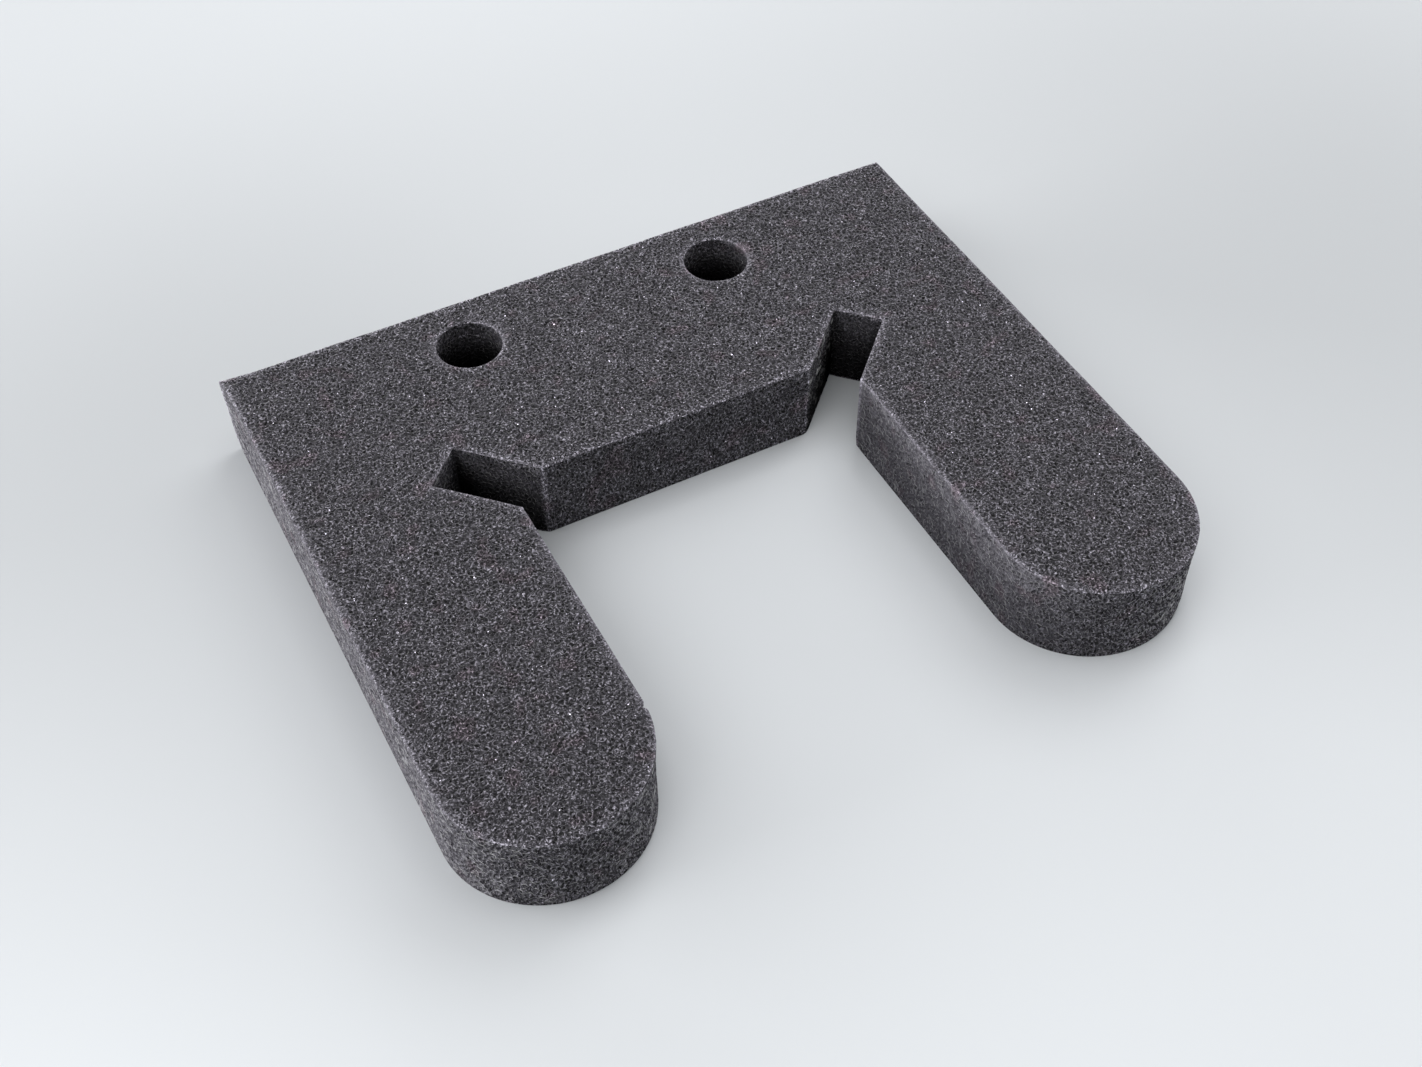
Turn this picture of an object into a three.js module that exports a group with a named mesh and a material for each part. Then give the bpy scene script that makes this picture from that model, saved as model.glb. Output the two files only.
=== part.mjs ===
import * as THREE from 'three';

// A pad cut right through from one sheet of open-cell polyurethane foam.
// A wide bridge along the back carries two legs that end in half circles.
// Two round holes go down through the bridge, near its straight back edge.
// Where each leg meets the bridge, a diagonal slot runs up into the corner,
// so that the legs can spread or be folded in without tearing the foam.
//
// Millimetres, +Z up. The pad lies flat on Z = 0 with its legs towards -Y,
// and the origin is on its underside, in the middle of the overall outline.

// ---- driving dimensions ----

const OVERALL_WIDTH = 200;
const OVERALL_LENGTH = 171;
const SHEET_THICKNESS = 25;

const BRIDGE_DEPTH = 68;
const LEG_WIDTH = 51.5;

const SLOT_WIDTH = 14;
const SLOT_REACH = 17.5;
const SLOT_ANGLE = THREE.MathUtils.degToRad(45);
const SLOT_LIP_RADIUS = 3;

const HOLE_DIAMETER = 18.2;
const HOLE_SPACING = 74.5;
const HOLE_SETBACK = 17.1;

// No chord of a round stretch strays further than this from its true arc.
const FACET_TOLERANCE = 0.02;

// ---- places worked out from them ----

const SIDE_X = OVERALL_WIDTH / 2;
const BACK_Y = OVERALL_LENGTH / 2;
const BRIDGE_FRONT_Y = BACK_Y - BRIDGE_DEPTH;
const LEG_INNER_X = SIDE_X - LEG_WIDTH;
const LEG_CENTRE_X = SIDE_X - LEG_WIDTH / 2;
const LEG_END_RADIUS = LEG_WIDTH / 2;
const LEG_END_CENTRE_Y = LEG_END_RADIUS - BACK_Y;
const HOLE_Y = BACK_Y - HOLE_SETBACK;

// ---- outline ----

/** Points along an arc in the sheet's plane, as many as the facet tolerance asks for. */
function arcPoints(centre, radius, startAngle, endAngle) {
  const step = 2 * Math.acos(1 - FACET_TOLERANCE / radius);
  const sweep = Math.abs(endAngle - startAngle);
  const clockwise = endAngle < startAngle;
  const arc = new THREE.ArcCurve(centre.x, centre.y, radius, startAngle, endAngle, clockwise);
  return arc.getPoints(Math.ceil(sweep / step));
}

/** The half circle that closes a leg, from its outer side round to its inner side. */
function legEnd() {
  const centre = new THREE.Vector2(-LEG_CENTRE_X, LEG_END_CENTRE_Y);
  return arcPoints(centre, LEG_END_RADIUS, Math.PI, 2 * Math.PI);
}

/**
 * The relief slot in the left inside corner, from the leg to the bridge.
 * It is a straight channel with a square end, centred on a line that leaves
 * the corner backwards and outwards. Its lip on the bridge side is rounded.
 */
function reliefSlot() {
  const corner = new THREE.Vector2(-LEG_INNER_X, BRIDGE_FRONT_Y);
  const inward = new THREE.Vector2(-Math.cos(SLOT_ANGLE), Math.sin(SLOT_ANGLE));
  const towardsBridge = new THREE.Vector2(inward.y, -inward.x);
  const halfWidth = towardsBridge.clone().multiplyScalar(SLOT_WIDTH / 2);
  const end = corner.clone().addScaledVector(inward, SLOT_REACH);

  // The channel's sides run on until they meet the leg's inner side and the bridge's front.
  const legMouth = new THREE.Vector2(corner.x, corner.y - SLOT_WIDTH / 2 / Math.cos(SLOT_ANGLE));
  const bridgeMouthX = corner.x + SLOT_WIDTH / 2 / Math.sin(SLOT_ANGLE);

  // The lip's arc touches the channel's side and the bridge's front.
  const lipCentre = new THREE.Vector2(
    bridgeMouthX + SLOT_LIP_RADIUS * Math.tan(SLOT_ANGLE / 2),
    BRIDGE_FRONT_Y + SLOT_LIP_RADIUS,
  );
  const straightDown = 1.5 * Math.PI;
  const lip = arcPoints(lipCentre, SLOT_LIP_RADIUS, straightDown - SLOT_ANGLE, straightDown);

  return [legMouth, end.clone().sub(halfWidth), end.clone().add(halfWidth), ...lip];
}

/** The pad seen from above, counter-clockwise from its back left corner. */
function padOutline() {
  const leftHalf = [new THREE.Vector2(-SIDE_X, BACK_Y), ...legEnd(), ...reliefSlot()];
  const rightHalf = leftHalf.map((point) => new THREE.Vector2(-point.x, point.y)).reverse();
  return new THREE.Shape([...leftHalf, ...rightHalf]);
}

/** A round hole through the bridge, on the given side of the middle line. */
function bridgeHole(side) {
  const centre = new THREE.Vector2(side * HOLE_SPACING / 2, HOLE_Y);
  return new THREE.Path(arcPoints(centre, HOLE_DIAMETER / 2, 0, 2 * Math.PI));
}

// ---- piece ----

/** The whole pad, extruded upwards through the thickness of the sheet. */
function foamPad() {
  const outline = padOutline();
  outline.holes.push(bridgeHole(-1), bridgeHole(1));
  const geometry = new THREE.ExtrudeGeometry(outline, { depth: SHEET_THICKNESS, bevelEnabled: false });
  const charcoalFoam = new THREE.MeshStandardMaterial({ color: 0x4e4c52, roughness: 0.95, metalness: 0 });
  const pad = new THREE.Mesh(geometry, charcoalFoam);
  pad.name = 'foam_pad';
  return pad;
}

const foamSheet = new THREE.Group();
foamSheet.add(foamPad());

export default foamSheet;
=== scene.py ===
"""A pad of open-cell polyurethane foam, lying flat on a pale studio floor.

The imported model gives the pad's outline and its thickness. The visible skin is
drawn as a flat pattern with one patch for each face of the pad. The pattern is
pierced with open cells, folded round the pad and welded shut along its rims.
"""

import logging
import math
from collections.abc import Iterator
from dataclasses import dataclass, field
from enum import Enum
from typing import ClassVar

import bmesh
import bpy
import numpy as np
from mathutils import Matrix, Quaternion, Vector, noise
from mathutils.geometry import delaunay_2d_cdt


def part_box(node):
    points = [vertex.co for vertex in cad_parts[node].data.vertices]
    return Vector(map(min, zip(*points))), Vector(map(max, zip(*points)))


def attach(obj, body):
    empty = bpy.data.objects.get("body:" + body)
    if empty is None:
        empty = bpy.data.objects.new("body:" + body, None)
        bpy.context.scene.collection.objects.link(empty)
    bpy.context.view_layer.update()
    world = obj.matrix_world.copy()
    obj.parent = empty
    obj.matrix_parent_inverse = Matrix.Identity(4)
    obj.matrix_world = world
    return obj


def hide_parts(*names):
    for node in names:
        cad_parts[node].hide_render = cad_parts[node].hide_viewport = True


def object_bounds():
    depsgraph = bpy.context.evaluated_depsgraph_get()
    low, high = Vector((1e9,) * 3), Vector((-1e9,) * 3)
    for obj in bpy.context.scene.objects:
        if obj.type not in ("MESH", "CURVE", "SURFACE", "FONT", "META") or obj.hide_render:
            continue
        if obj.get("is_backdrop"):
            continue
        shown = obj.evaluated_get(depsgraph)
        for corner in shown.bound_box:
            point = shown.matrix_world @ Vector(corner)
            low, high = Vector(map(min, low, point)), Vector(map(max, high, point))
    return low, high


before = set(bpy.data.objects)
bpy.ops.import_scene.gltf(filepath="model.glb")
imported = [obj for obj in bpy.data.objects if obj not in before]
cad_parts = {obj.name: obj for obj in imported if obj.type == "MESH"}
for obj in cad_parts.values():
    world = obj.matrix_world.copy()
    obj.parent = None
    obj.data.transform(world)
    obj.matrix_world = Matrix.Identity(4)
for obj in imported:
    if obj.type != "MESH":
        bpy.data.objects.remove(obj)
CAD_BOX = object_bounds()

MM = 0.001
HAIR = 1e-9
HALF = 0.5
LOG = logging.getLogger("foam_pad")

Colour = tuple[float, float, float]
Place = tuple[float, float, float]
Span = tuple[float, float]


# ---- node trees ----


class Wire:
    """An output socket that takes part in arithmetic, and adds its Math nodes as it does."""

    def __init__(self, tree: "Tree", socket: bpy.types.NodeSocket) -> None:
        """Wraps a socket of a tree."""
        self.tree = tree
        self.socket = socket

    def _maths(self, operation: str, *values: "Wire | float") -> "Wire":
        """Adds one Math node that works on these values."""
        return self.tree.node("ShaderNodeMath", {"operation": operation}, dict(enumerate(values)))

    def __add__(self, other: "Wire | float") -> "Wire":
        """self + other"""
        return self._maths("ADD", self, other)

    def __radd__(self, other: float) -> "Wire":
        """other + self"""
        return self._maths("ADD", other, self)

    def __sub__(self, other: "Wire | float") -> "Wire":
        """self - other"""
        return self._maths("SUBTRACT", self, other)

    def __rsub__(self, other: float) -> "Wire":
        """other - self"""
        return self._maths("SUBTRACT", other, self)

    def __mul__(self, other: "Wire | float") -> "Wire":
        """self * other"""
        return self._maths("MULTIPLY", self, other)

    def __rmul__(self, other: float) -> "Wire":
        """other * self"""
        return self._maths("MULTIPLY", other, self)

    def __truediv__(self, other: "Wire | float") -> "Wire":
        """self / other"""
        return self._maths("DIVIDE", self, other)

    def __pow__(self, other: float) -> "Wire":
        """self ** other"""
        return self._maths("POWER", self, other)

    def __rpow__(self, other: float) -> "Wire":
        """other ** self"""
        return self._maths("POWER", other, self)

    def __lt__(self, other: "Wire | float") -> "Wire":
        """1 where self is less than other, else 0"""
        return self._maths("LESS_THAN", self, other)

    def __gt__(self, other: "Wire | float") -> "Wire":
        """1 where self is greater than other, else 0"""
        return self._maths("GREATER_THAN", self, other)

    def over(self, other: "Wire | float") -> "Wire":
        """The larger of the two."""
        return self._maths("MAXIMUM", self, other)

    def bell(self) -> "Wire":
        """Falls from 1 at 0 along a bell curve, to 1/e at 1."""
        return math.e ** (0.0 - self**2.0)

    def ease(self, start: float, end: float) -> "Wire":
        """Goes smoothly from 0 at start to 1 at end."""
        values = {"Value": self, "From Min": start, "From Max": end}
        return self.tree.node("ShaderNodeMapRange", {"interpolation_type": "SMOOTHSTEP"}, values)

    def beside(self, name: str) -> "Wire":
        """Another output of the same node."""
        return Wire(self.tree, self.socket.node.outputs[name])


class Tree:
    """A node tree in the making: a material's, the world's or a Geometry Nodes group's."""

    def __init__(self, tree: bpy.types.NodeTree) -> None:
        """Takes an empty node tree."""
        self.tree = tree

    @classmethod
    def of_material(cls, name: str) -> tuple[bpy.types.Material, "Tree"]:
        """Makes a material.

        Args:
            name: the material's name.

        Returns:
            The material and its empty tree.
        """
        material = bpy.data.materials.new(name)
        material.use_nodes = True
        material.node_tree.nodes.clear()
        return material, cls(material.node_tree)

    @classmethod
    def of_geometry(cls, name: str, **inputs: str) -> tuple["Tree", dict[str, Wire]]:
        """Makes a Geometry Nodes group with a mesh going in and a mesh coming out.

        Args:
            name: the group's name.
            inputs: the kind of each further input, "Float" or "Int", by its name.

        Returns:
            The tree and its inputs by name.
        """
        group = bpy.data.node_groups.new(name, "GeometryNodeTree")
        for way in ("INPUT", "OUTPUT"):
            group.interface.new_socket("Mesh", in_out=way, socket_type="NodeSocketGeometry")
        for title, kind in inputs.items():
            group.interface.new_socket(title, in_out="INPUT", socket_type=f"NodeSocket{kind}")
        tree = cls(group)
        entry = group.nodes.new("NodeGroupInput")
        return tree, {title: Wire(tree, entry.outputs[title]) for title in ("Mesh", *inputs)}

    def node(
        self,
        kind: str,
        settings: dict[str, object] | None = None,
        inputs: dict[str | int, object] | None = None,
        output: str | int = 0,
    ) -> Wire | None:
        """Adds a node.

        Args:
            kind: the node's type.
            settings: its properties, which are set before its sockets.
            inputs: a value or a Wire for each socket in use, by name or place.
            output: the name or place of the output to return.

        Returns:
            That output, or nothing where the node has none.
        """
        made = self.tree.nodes.new(kind)
        for name, value in (settings or {}).items():
            setattr(made, name, value)
        for name, value in (inputs or {}).items():
            socket = self._find(made.inputs, name)
            if isinstance(value, Wire):
                self.tree.links.new(value.socket, socket)
            else:
                socket.default_value = value
        return Wire(self, self._find(made.outputs, output)) if len(made.outputs) else None

    @staticmethod
    def _find(sockets: bpy.types.NodeInputs, name: str | int) -> bpy.types.NodeSocket:
        """Finds a socket.

        Args:
            sockets: a node's inputs or outputs.
            name: the socket's name, or its place among those in use.

        Returns:
            The first socket in use that matches.
        """
        live = [socket for socket in sockets if socket.enabled]
        if isinstance(name, int):
            return live[name]
        return next(socket for socket in live if socket.name == name)

    def blend(self, share: Wire, low: Colour, high: Colour) -> Wire:
        """Mixes two colours, from all low where share is 0 to all high where it is 1."""
        inputs = {"Factor": share, "A": solid_colour(low), "B": solid_colour(high)}
        return self.node("ShaderNodeMix", {"data_type": "RGBA"}, inputs)

    def scaled(self, colour: Wire | Colour, factor: Wire) -> Wire:
        """Makes a colour lighter or darker by a factor."""
        inputs = {0: colour, "Scale": factor}
        return self.node("ShaderNodeVectorMath", {"operation": "SCALE"}, inputs)

    def length(self, vector: Wire) -> Wire:
        """Returns a vector's length."""
        return self.node("ShaderNodeVectorMath", {"operation": "LENGTH"}, {0: vector}, "Value")

    def backdrop_rays(self) -> Wire:
        """Tells the rays that show a backdrop from those that carry its light.

        Returns:
            1 for the first, 0 for the others.
        """
        path = self.node("ShaderNodeLightPath")
        glossy, transmission = path.beside("Is Glossy Ray"), path.beside("Is Transmission Ray")
        return path.beside("Is Camera Ray").over(glossy).over(transmission)

    def finish_geometry(self, geometry: Wire, material: bpy.types.Material) -> None:
        """Ends a Geometry Nodes group.

        Args:
            geometry: the mesh that comes out of it.
            material: what the mesh is dressed in.
        """
        real = self.node("GeometryNodeRealizeInstances", {}, {0: geometry})
        dressed = self.node("GeometryNodeSetMaterial", {}, {0: real, "Material": material})
        self.node("NodeGroupOutput", {}, {0: dressed})


def solid_colour(colour: Colour) -> tuple[float, float, float, float]:
    """Returns a colour with its alpha, which is full."""
    return (*colour, 1.0)


# ---- meshes and objects ----


def put_in_scene(name: str, data: bpy.types.ID) -> bpy.types.Object:
    """Puts a new object into the scene.

    Args:
        name: the object's name.
        data: its mesh, lamp or camera.

    Returns:
        The object.
    """
    made = bpy.data.objects.new(name, data)
    bpy.context.scene.collection.objects.link(made)
    return made


def run_nodes(mesh: bpy.types.Mesh, tree: Tree, **values: float) -> bpy.types.Mesh:
    """Runs a Geometry Nodes group.

    Args:
        mesh: what goes into it.
        tree: the group's tree.
        values: its other inputs by name, with an underscore for each space.

    Returns:
        What comes out, as a plain mesh.
    """
    group = tree.tree
    carrier = put_in_scene(group.name, mesh)
    modifier = carrier.modifiers.new(group.name, "NODES")
    modifier.node_group = group
    for item in group.interface.items_tree:
        key = item.name.replace(" ", "_")
        if item.in_out == "INPUT" and key in values:
            modifier[item.identifier] = values[key]
    shown = carrier.evaluated_get(bpy.context.evaluated_depsgraph_get())
    result = bpy.data.meshes.new_from_object(shown)
    bpy.data.objects.remove(carrier)
    return result


def flat_sheet(name: str, low: np.ndarray, high: np.ndarray) -> bpy.types.Mesh:
    """Makes a flat rectangle at height 0.

    Args:
        name: the mesh's name.
        low: its lowest corner, x and y.
        high: its highest corner.

    Returns:
        The mesh, which has one face.
    """
    mesh = bpy.data.meshes.new(name)
    corners = ((low[0], low[1]), (high[0], low[1]), (high[0], high[1]), (low[0], high[1]))
    mesh.from_pydata([(x, y, 0.0) for x, y in corners], [], [tuple(range(len(corners)))])
    return mesh


def vertex_places(mesh: bpy.types.Mesh) -> np.ndarray:
    """Reads a mesh's vertices.

    Args:
        mesh: any mesh.

    Returns:
        Rows of x, y and z.
    """
    places = np.empty(len(mesh.vertices) * 3, np.float32)
    mesh.vertices.foreach_get("co", places)
    return places.reshape(-1, 3).astype(float)


def keep_numbers(mesh: bpy.types.Mesh, name: str, numbers: np.ndarray) -> None:
    """Keeps one number for each vertex on a mesh, under a name."""
    kept = mesh.attributes.new(name, "FLOAT", "POINT")
    kept.data.foreach_set("value", numbers.astype(np.float32))


# ---- the cut outline ----


def ring_sides(ring: np.ndarray) -> tuple[np.ndarray, np.ndarray]:
    """Returns where each side of a closed ring starts, and the step along it."""
    return ring, np.roll(ring, -1, axis=0) - ring


def distance_to_side(points: np.ndarray, start: np.ndarray, step: np.ndarray) -> np.ndarray:
    """Returns how far each point lies from the straight side that goes this step from start."""
    share = np.clip((points - start) @ step / (step @ step), 0, 1)
    return np.linalg.norm(points - start - share[:, None] * step, axis=1)


def distance_to_rings(points: np.ndarray, rings: list[np.ndarray]) -> np.ndarray:
    """Measures from points to rings.

    Args:
        points: rows of x and y.
        rings: closed rings, as rows of x and y.

    Returns:
        How far each point lies from the nearest side.
    """
    nearest = np.full(len(points), np.inf)
    for ring in rings:
        for start, step in zip(*ring_sides(ring)):
            nearest = np.minimum(nearest, distance_to_side(points, start, step))
    return nearest


def inside_rings(points: np.ndarray, rings: list[np.ndarray]) -> np.ndarray:
    """Tells which points lie in a sheet.

    Args:
        points: rows of x and y.
        rings: the sheet's outer ring, then its holes.

    Returns:
        True for each point inside the first ring and outside the holes.
    """
    crossings = np.zeros(len(points), int)
    for ring in rings:
        for start, step in zip(*ring_sides(ring)):
            spans = (start[1] > points[:, 1]) != (start[1] + step[1] > points[:, 1])
            if spans.any():
                cut = start[0] + (points[:, 1] - start[1]) * step[0] / (step[1] or HAIR)
                crossings += spans & (points[:, 0] < cut)
    return crossings % 2 == 1


@dataclass
class Stretch:
    """A smooth run of the cut edge, seen from above, with the foam on its left."""

    points: np.ndarray
    closed: bool
    along: np.ndarray = field(init=False)
    outward: np.ndarray = field(init=False)

    def __post_init__(self) -> None:
        """Measures the run and finds the directions that face out of the foam."""
        steps = np.diff(self.points, axis=0)
        lengths = np.linalg.norm(steps, axis=1)
        self.along = np.concatenate([[0.0], np.cumsum(lengths)])
        facing = np.stack([steps[:, 1], -steps[:, 0]], axis=1) / lengths[:, None]
        first, last = (facing[-1:], facing[:1]) if self.closed else (facing[:1], facing[-1:])
        mean = np.concatenate([first, facing]) + np.concatenate([facing, last])
        self.outward = mean / np.linalg.norm(mean, axis=1)[:, None]

    @property
    def length(self) -> float:
        """The run's length."""
        return float(self.along[-1])

    def place(self, distance: np.ndarray) -> np.ndarray:
        """Returns the points this far along the run."""
        return np.stack([np.interp(distance, self.along, axis) for axis in self.points.T], axis=1)

    def facing(self, distance: np.ndarray) -> np.ndarray:
        """Returns the unit directions out of the foam this far along the run."""
        mixed = np.stack([np.interp(distance, self.along, axis) for axis in self.outward.T], axis=1)
        return mixed / np.linalg.norm(mixed, axis=1)[:, None]


@dataclass(frozen=True)
class CutOutline:
    """The loops that the pad is cut along, read from its CAD solid."""

    node: str
    sharp_turn: float = math.radians(20)
    arris_turn: float = math.radians(8)
    arris_gap: float = 1.0 * MM
    level: float = 1e-6
    digits: int = 6

    def loops(self) -> list[np.ndarray]:
        """Reads the loops of the top face.

        Returns:
            The outer loop first, then the holes, which run clockwise.
        """
        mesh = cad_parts[self.node].data
        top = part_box(self.node)[1].z
        mesh.calc_loop_triangles()
        plan = [(round(v.co.x, self.digits), round(v.co.y, self.digits)) for v in mesh.vertices]
        on_top = [abs(v.co.z - top) < self.level for v in mesh.vertices]
        directed = set()
        for face in mesh.loop_triangles:
            if all(on_top[i] for i in face.vertices):
                corners = [plan[i] for i in face.vertices]
                directed.update(zip(corners, corners[1:] + corners[:1]))
        following = {start: end for start, end in directed if (end, start) not in directed}
        found = []
        while following:
            start = min(following)
            ring = [start]
            while (current := following.pop(ring[-1])) != start:
                ring.append(current)
            found.append(np.array(ring))
        return sorted(found, key=lambda ring: (-np.ptp(ring[:, 0]), ring[0, 0]))

    @staticmethod
    def _turns(ring: np.ndarray) -> np.ndarray:
        """Measures a loop's turns.

        Args:
            ring: the loop's points.

        Returns:
            How far it turns at each of them, more than 0 where it goes round the foam.
        """
        before = ring - np.roll(ring, 1, axis=0)
        after = np.roll(ring, -1, axis=0) - ring
        cross = before[:, 0] * after[:, 1] - before[:, 1] * after[:, 0]
        return np.arctan2(cross, (before * after).sum(axis=1))

    def arrises(self) -> np.ndarray:
        """Finds the vertical arrises.

        Returns:
            Where, seen from above, the outer loop turns sharply round the foam.
        """
        ring = self.loops()[0]
        points = ring[self._turns(ring) > self.arris_turn]
        steps = np.linalg.norm(np.diff(points, axis=0), axis=1)
        groups = np.split(points, np.flatnonzero(steps > self.arris_gap) + 1)
        return np.array([group.mean(axis=0) for group in groups])

    def left_leg_edge(self, y: float) -> tuple[float, float]:
        """Finds a point of the left leg's inner edge.

        Args:
            y: how far back the point lies.

        Returns:
            Its x and y.
        """
        start, step = ring_sides(self.loops()[0])
        spans = (start[:, 1] > y) != (start[:, 1] + step[:, 1] > y)
        start, step = start[spans], step[spans]
        cut = start[:, 0] + (y - start[:, 1]) * step[:, 0] / step[:, 1]
        return float(cut[cut < 0].max()), y

    def stretches(self) -> list[list[Stretch]]:
        """Breaks the loops at their sharp corners.

        Returns:
            The smooth runs of each loop, in order.
        """
        result = []
        for ring in self.loops():
            corners = np.flatnonzero(np.abs(self._turns(ring)) > self.sharp_turn)
            start = corners[0] if len(corners) else int(ring[:, 1].argmin())
            ends = [*(corners - start), len(ring)] if len(corners) else [0, len(ring)]
            ring = np.roll(ring, -start, axis=0)
            whole = np.concatenate([ring, ring[:1]])
            closed = not len(corners)
            result.append([Stretch(whole[a : b + 1], closed) for a, b in zip(ends, ends[1:])])
        return result


# ---- the flat pattern ----


class Face(Enum):
    """The kind of face that a patch of the pattern covers."""

    TOP = "top"
    UNDERSIDE = "underside"
    WALL = "wall"


@dataclass
class Patch:
    """One flat patch of the pattern: an outer ring, counter-clockwise, then any holes."""

    face: Face
    rings: list[np.ndarray]
    stretch: Stretch | None = None
    shift: np.ndarray = field(default_factory=lambda: np.zeros(2))

    @property
    def low(self) -> np.ndarray:
        """The lowest corner of the patch, before it is laid out."""
        return self.rings[0].min(axis=0)

    @property
    def size(self) -> np.ndarray:
        """The patch's width and height."""
        return np.ptp(self.rings[0], axis=0)

    def laid(self) -> list[np.ndarray]:
        """Returns the rings where they lie in the pattern."""
        return [ring + self.shift for ring in self.rings]


@dataclass(frozen=True)
class CellSizes:
    """The open cells, in metres where the value is a length."""

    spacing: float = 0.81 * MM
    crowding: float = 1.0
    rim_step: float = 1.15 * MM
    rim_jitter: float = 0.3
    rim_clearance: float = 0.55 * MM
    rise: float = 1.3
    depth: float = 0.75 * MM
    least_depth: float = 0.3
    wander: float = 0.2 * MM
    rim_share: float = 0.1
    skinned_share: float = 0.08
    strut_sink: float = 0.15 * MM
    underside_spacing: float = 4.0 * MM
    underside_crowding: float = 8.0
    underside_clearance: float = 2.0 * MM
    seed: int = 11


@dataclass(frozen=True)
class CutSizes:
    """How the knife left the foam, and the sizes of some painted light, in metres where the value
    is a length.
    """

    dish: float = 0.3 * MM
    dish_fade: float = 8.0 * MM
    lip: float = 0.2 * MM
    lip_jitter: float = 0.05 * MM
    swell: float = 0.3 * MM
    swell_depth: float = 1.6 * MM
    rounding: float = 0.2 * MM
    tuck: float = 0.75 * MM
    tuck_height: float = 5.0 * MM
    side_hold: float = 0.7
    # Sizes of the painted light on the top next to the faces that face along X.
    side_light_gap: float = 2.2 * MM
    side_light_reach: float = 4.4 * MM
    side_light_share: float = 0.5
    ear: float = 0.9 * MM
    ear_reach: float = 10.0 * MM
    # Widths of the painted highlights along the top rims, down the walls and beside the vertical
    # arrises.
    top_highlight_width: float = 2.0 * MM
    wall_highlight_width: float = 0.9 * MM
    arris_highlight_width: float = 0.8 * MM
    nick_setback: float = 24.7 * MM
    nick_reach: float = 0.9 * MM
    nick_depth: float = 1.3 * MM
    nick_drop: float = 4.0 * MM
    wave: float = 0.12 * MM
    wave_length: float = 16.0 * MM
    weld: float = 0.15 * MM


@dataclass(frozen=True)
class LookSizes:
    """How the light shut out of the slots and holes is worked out: looks taken from the walls."""

    count: int = 9
    widest: float = math.radians(70)
    stop_step: float = 1.0 * MM
    least_stops: int = 3
    margin: float = 0.5 * MM
    step_off: float = 0.1 * MM
    open_way: float = 1.0


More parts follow.
